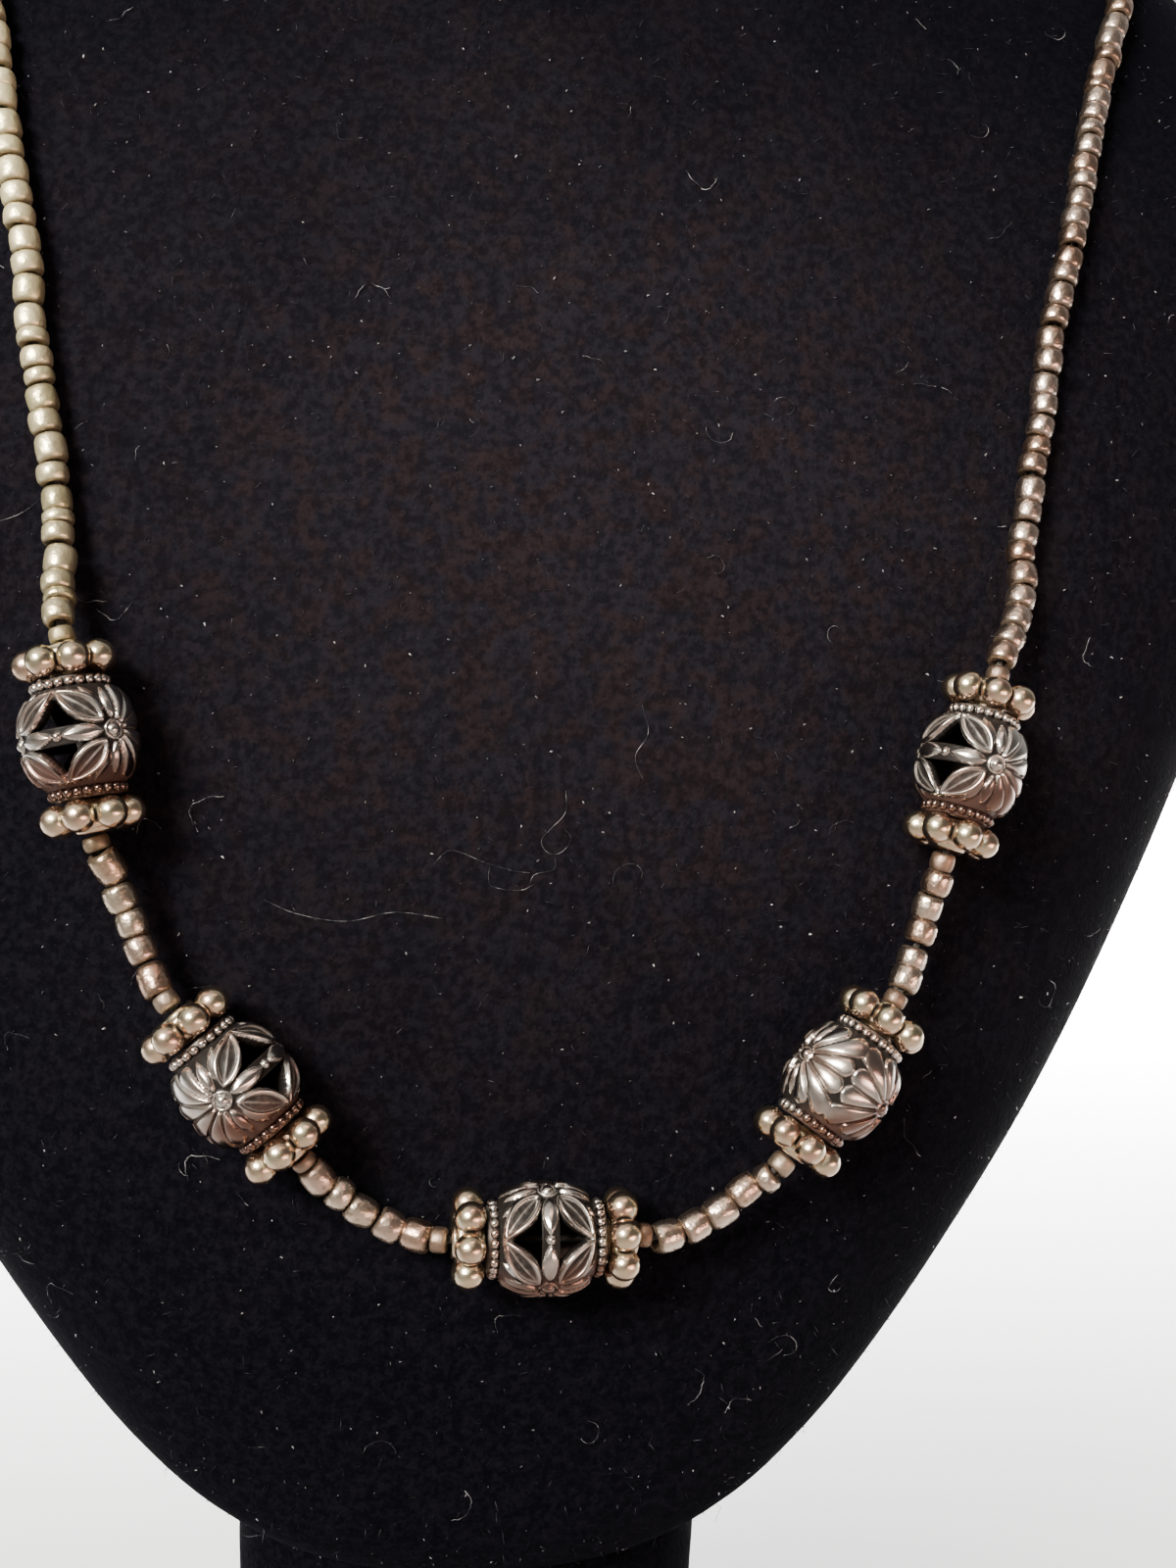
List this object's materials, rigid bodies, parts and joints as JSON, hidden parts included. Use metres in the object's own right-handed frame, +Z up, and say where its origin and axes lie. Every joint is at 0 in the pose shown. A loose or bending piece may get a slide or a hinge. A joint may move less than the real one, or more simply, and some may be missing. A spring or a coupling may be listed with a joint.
{
  "type": "seed bead necklace on a neck bust",
  "caption": "Single-strand necklace of metallic seed beads with pierced flower barrel beads between ball spacers, worn on a black velvet neck bust with an oval base.",
  "frame": {"origin": "on the underside of the oval base, under the middle of the whole part's outline", "axes": "+Z up through the neck, -Y the way the chest faces, +X to the right as seen from the front"},
  "size_m": [0.1936, 0.1136, 0.29],
  "materials": {
    "velvet": "short black pile",
    "antique_silver": "cast, darkened in the hollows, bright on the raised flowers",
    "gilt_silver": "polished pale gold with darkened joints between the balls",
    "seed_beads": "opaque metallic coating, pale gold to rose copper",
    "thread": "twisted thread",
    "clasp_metal": "polished"
  },
  "bodies": {
    "root": {"bust_form": "velvet", "bust_stem": "velvet", "bust_base": "velvet", "barrel_upper_left": "antique_silver", "barrel_lower_left": "antique_silver", "barrel_centre": "antique_silver", "barrel_lower_right": "antique_silver", "barrel_upper_right": "antique_silver", "spacer_upper_left_top": "gilt_silver", "spacer_upper_left_bottom": "gilt_silver", "spacer_lower_left_top": "gilt_silver", "spacer_lower_left_bottom": "gilt_silver", "spacer_centre_left": "gilt_silver", "spacer_centre_right": "gilt_silver", "spacer_lower_right_bottom": "gilt_silver", "spacer_lower_right_top": "gilt_silver", "spacer_upper_right_bottom": "gilt_silver", "spacer_upper_right_top": "gilt_silver", "string_neck_left": "seed_beads", "string_upper_left": "seed_beads", "string_lower_left": "seed_beads", "string_lower_right": "seed_beads", "string_upper_right": "seed_beads", "string_neck_right": "seed_beads", "thread": "thread", "clasp": "clasp_metal"}
  },
  "joints": []
}
